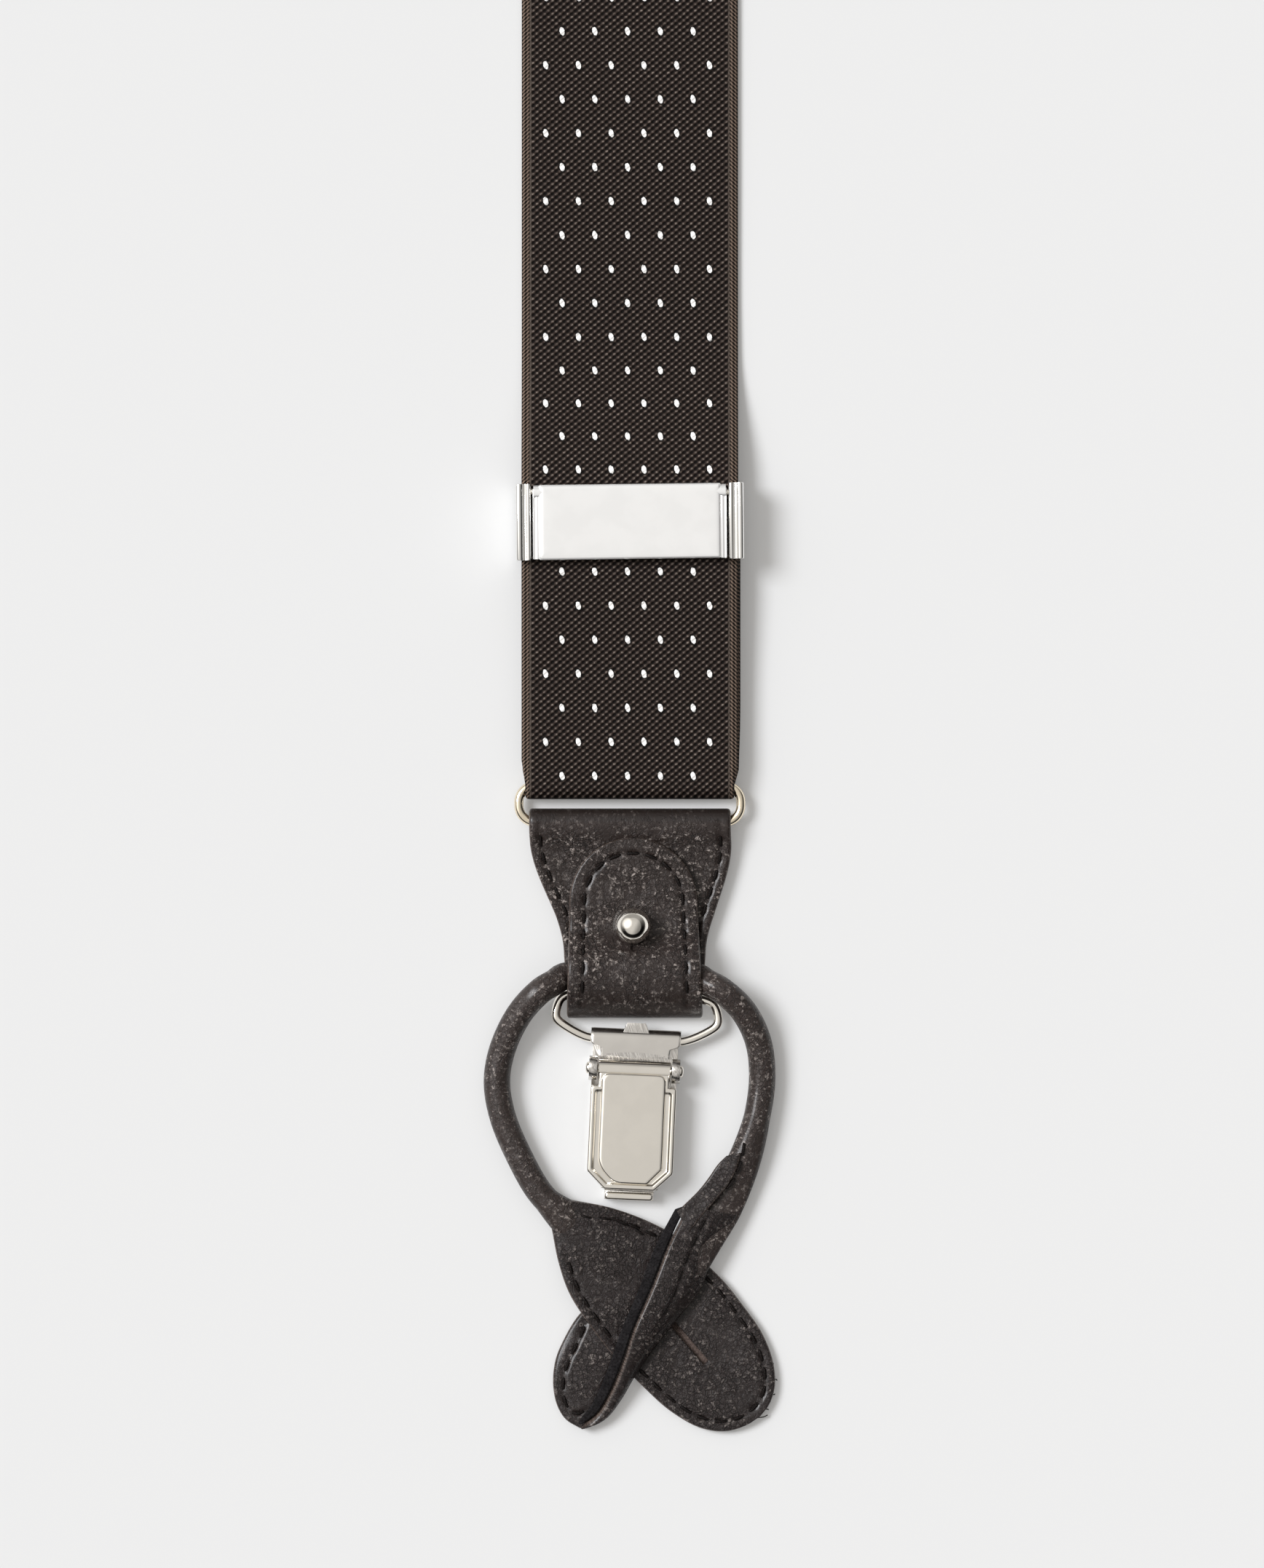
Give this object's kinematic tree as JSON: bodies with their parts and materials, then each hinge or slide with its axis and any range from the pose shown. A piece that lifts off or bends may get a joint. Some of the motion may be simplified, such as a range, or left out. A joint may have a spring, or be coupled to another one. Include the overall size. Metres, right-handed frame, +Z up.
{
  "type": "suspenders",
  "caption": "Y-back trouser suspenders with slide adjusters, leather back patch and convertible ends with clips and rolled button loops.",
  "frame": {"origin": "middle of the footprint, on the surface it lies on", "axes": "+Y towards the back end, +Z up out of the front face, +X across"},
  "size_m": [0.5224, 1.0612, 0.0097],
  "materials": {
    "webbing": "charcoal brown birdseye weave with white pin dots",
    "leather": "fine-grained dark brown leather, tone-on-tone stitching",
    "nickel": "polished warm nickel plate",
    "steel": "brushed nickel-plated steel",
    "grip_plastic": "ribbed pale nylon"
  },
  "bodies": {
    "root": {"patch_back": "leather", "patch_front": "leather", "left_webbing": "webbing", "right_webbing": "webbing", "back_webbing": "webbing"},
    "left_sling": {"left_return_webbing": "webbing"},
    "left_slider": {"left_adjuster_frame": "nickel", "left_adjuster_pin": "steel"},
    "left_flip": {"left_adjuster_cover": "nickel"},
    "left_link": {"left_ring": "nickel"},
    "left_leather": {"left_tab": "leather", "left_stud": "nickel", "left_stud_base": "steel"},
    "left_cover": {"left_flap": "leather"},
    "left_runner": {"left_rolled_loop": "leather", "left_ear_under": "leather", "left_ear_over": "leather"},
    "left_hanger": {"left_bail": "nickel"},
    "left_grip": {"left_clip_frame": "steel", "left_clip_pin": "steel", "left_clip_pad": "grip_plastic"},
    "left_lever": {"left_clip_lever": "nickel"},
    "left_jaw": {"left_clip_jaw": "steel"},
    "right_sling": {"right_return_webbing": "webbing"},
    "right_slider": {"right_adjuster_frame": "nickel", "right_adjuster_pin": "steel"},
    "right_flip": {"right_adjuster_cover": "nickel"},
    "right_link": {"right_ring": "nickel"},
    "right_leather": {"right_tab": "leather", "right_stud": "nickel", "right_stud_base": "steel"},
    "right_cover": {"right_flap": "leather"},
    "right_runner": {"right_rolled_loop": "leather", "right_ear_under": "leather", "right_ear_over": "leather"},
    "right_hanger": {"right_bail": "nickel"},
    "right_grip": {"right_clip_frame": "steel", "right_clip_pin": "steel", "right_clip_pad": "grip_plastic"},
    "right_lever": {"right_clip_lever": "nickel"},
    "right_jaw": {"right_clip_jaw": "steel"},
    "back_link": {"back_ring": "nickel"},
    "back_leather": {"back_tab": "leather", "back_stud": "nickel", "back_stud_base": "steel"},
    "back_cover": {"back_flap": "leather"},
    "back_runner": {"back_rolled_loop": "leather", "back_ear_under": "leather", "back_ear_over": "leather"},
    "back_hanger": {"back_bail": "nickel"},
    "back_grip": {"back_clip_frame": "steel", "back_clip_pin": "steel", "back_clip_pad": "grip_plastic"},
    "back_lever": {"back_clip_lever": "nickel"},
    "back_jaw": {"back_clip_jaw": "steel"}
  },
  "joints": [
    {"name": "left_adjuster_slide", "type": "slide", "parent": "root", "child": "left_slider", "axis": [0.2924, 0.9563, 0], "range_m": [-0.036, 0.18], "deforming": ["left_webbing"]},
    {"name": "left_ring_lift", "type": "slide", "parent": "left_slider", "child": "left_sling", "axis": [0.2924, 0.9563, 0], "range_m": [-0.09, 0.018], "deforming": ["left_return_webbing"]},
    {"name": "left_adjuster_flip", "type": "hinge", "parent": "left_slider", "child": "left_flip", "pos_m": [-0.2068, -0.38061, 0.0068], "axis": [-0.9563, 0.2924, 0], "range_deg": [0, 100]},
    {"name": "left_ring_swing", "type": "hinge", "parent": "left_sling", "child": "left_link", "pos_m": [-0.22064, -0.42589, 0.00225], "axis": [-0.9563, 0.2924, 0], "range_deg": [0, 30]},
    {"name": "left_tab_swing", "type": "hinge", "parent": "left_link", "child": "left_leather", "pos_m": [-0.2224, -0.43163, 0.00225], "axis": [-0.9563, 0.2924, 0], "range_deg": [0, 75]},
    {"name": "left_flap_fold", "type": "hinge", "parent": "left_leather", "child": "left_cover", "pos_m": [-0.2314, -0.46108, 0.0008], "axis": [-0.9563, 0.2924, 0], "range_deg": [-95, 0], "deforming": ["left_flap"]},
    {"name": "left_loop_swing", "type": "hinge", "parent": "left_leather", "child": "left_runner", "pos_m": [-0.22959, -0.45515, 0.00365], "axis": [-0.9563, 0.2924, 0], "range_deg": [0, 60]},
    {"name": "left_bail_swing", "type": "hinge", "parent": "left_leather", "child": "left_hanger", "pos_m": [-0.2294, -0.45897, 0.00225], "axis": [-0.9421, 0.3355, 0], "range_deg": [0, 40]},
    {"name": "left_clip_swing", "type": "hinge", "parent": "left_hanger", "child": "left_grip", "pos_m": [-0.23171, -0.46547, 0.00225], "axis": [-0.9421, 0.3355, 0], "range_deg": [0, 45]},
    {"name": "left_lever_hinge", "type": "hinge", "parent": "left_grip", "child": "left_lever", "pos_m": [-0.23336, -0.47009, 0.0034], "axis": [-0.9421, 0.3355, 0], "range_deg": [0, 85]},
    {"name": "left_jaw_hinge", "type": "hinge", "parent": "left_grip", "child": "left_jaw", "pos_m": [-0.23507, -0.47489, 0.0023], "axis": [-0.9421, 0.3355, 0], "range_deg": [0, 10.2]},
    {"name": "right_adjuster_slide", "type": "slide", "parent": "root", "child": "right_slider", "axis": [-0.2924, 0.9563, 0], "range_m": [-0.036, 0.18], "deforming": ["right_webbing"]},
    {"name": "right_ring_lift", "type": "slide", "parent": "right_slider", "child": "right_sling", "axis": [-0.2924, 0.9563, 0], "range_m": [-0.09, 0.018], "deforming": ["right_return_webbing"]},
    {"name": "right_adjuster_flip", "type": "hinge", "parent": "right_slider", "child": "right_flip", "pos_m": [0.19647, -0.38061, 0.0068], "axis": [-0.9563, -0.2924, 0], "range_deg": [0, 100]},
    {"name": "right_ring_swing", "type": "hinge", "parent": "right_sling", "child": "right_link", "pos_m": [0.21031, -0.42589, 0.00225], "axis": [-0.9563, -0.2924, 0], "range_deg": [0, 30]},
    {"name": "right_tab_swing", "type": "hinge", "parent": "right_link", "child": "right_leather", "pos_m": [0.21207, -0.43163, 0.00225], "axis": [-0.9563, -0.2924, 0], "range_deg": [0, 75]},
    {"name": "right_flap_fold", "type": "hinge", "parent": "right_leather", "child": "right_cover", "pos_m": [0.22107, -0.46108, 0.0008], "axis": [-0.9563, -0.2924, 0], "range_deg": [-95, 0], "deforming": ["right_flap"]},
    {"name": "right_loop_swing", "type": "hinge", "parent": "right_leather", "child": "right_runner", "pos_m": [0.21926, -0.45515, 0.00365], "axis": [-0.9563, -0.2924, 0], "range_deg": [0, 60]},
    {"name": "right_bail_swing", "type": "hinge", "parent": "right_leather", "child": "right_hanger", "pos_m": [0.21974, -0.45877, 0.00225], "axis": [-0.9483, -0.3173, 0], "range_deg": [0, 40]},
    {"name": "right_clip_swing", "type": "hinge", "parent": "right_hanger", "child": "right_grip", "pos_m": [0.22193, -0.46531, 0.00225], "axis": [-0.9483, -0.3173, 0], "range_deg": [0, 45]},
    {"name": "right_lever_hinge", "type": "hinge", "parent": "right_grip", "child": "right_lever", "pos_m": [0.22348, -0.46996, 0.0034], "axis": [-0.9483, -0.3173, 0], "range_deg": [0, 85]},
    {"name": "right_jaw_hinge", "type": "hinge", "parent": "right_grip", "child": "right_jaw", "pos_m": [0.2251, -0.4748, 0.0023], "axis": [-0.9483, -0.3173, 0], "range_deg": [0, 10.2]},
    {"name": "back_ring_swing", "type": "hinge", "parent": "root", "child": "back_link", "pos_m": [-0.00516, 0.42591, 0.00225], "axis": [1, 0, 0], "range_deg": [0, 30]},
    {"name": "back_tab_swing", "type": "hinge", "parent": "back_link", "child": "back_leather", "pos_m": [-0.00516, 0.43191, 0.00225], "axis": [1, 0, 0], "range_deg": [0, 75]},
    {"name": "back_flap_fold", "type": "hinge", "parent": "back_leather", "child": "back_cover", "pos_m": [-0.00516, 0.46271, 0.0008], "axis": [1, 0, 0], "range_deg": [-95, 0], "deforming": ["back_flap"]},
    {"name": "back_loop_swing", "type": "hinge", "parent": "back_leather", "child": "back_runner", "pos_m": [-0.00516, 0.45651, 0.00365], "axis": [1, 0, 0], "range_deg": [0, 60]},
    {"name": "back_bail_swing", "type": "hinge", "parent": "back_leather", "child": "back_hanger", "pos_m": [-0.00516, 0.46011, 0.00225], "axis": [1, 0, 0], "range_deg": [0, 40]},
    {"name": "back_clip_swing", "type": "hinge", "parent": "back_hanger", "child": "back_grip", "pos_m": [-0.00516, 0.46701, 0.00225], "axis": [1, 0, 0], "range_deg": [0, 45]},
    {"name": "back_lever_hinge", "type": "hinge", "parent": "back_grip", "child": "back_lever", "pos_m": [-0.00516, 0.47191, 0.0034], "axis": [1, 0, 0], "range_deg": [0, 85]},
    {"name": "back_jaw_hinge", "type": "hinge", "parent": "back_grip", "child": "back_jaw", "pos_m": [-0.00516, 0.47701, 0.0023], "axis": [1, 0, 0], "range_deg": [0, 10.2]}
  ],
  "couplings": [
    {"joint": "left_ring_lift", "follows": "left_adjuster_slide", "ratio": -0.5},
    {"joint": "left_jaw_hinge", "follows": "left_lever_hinge", "ratio": 0.12},
    {"joint": "right_ring_lift", "follows": "right_adjuster_slide", "ratio": -0.5},
    {"joint": "right_jaw_hinge", "follows": "right_lever_hinge", "ratio": 0.12},
    {"joint": "back_jaw_hinge", "follows": "back_lever_hinge", "ratio": 0.12}
  ]
}
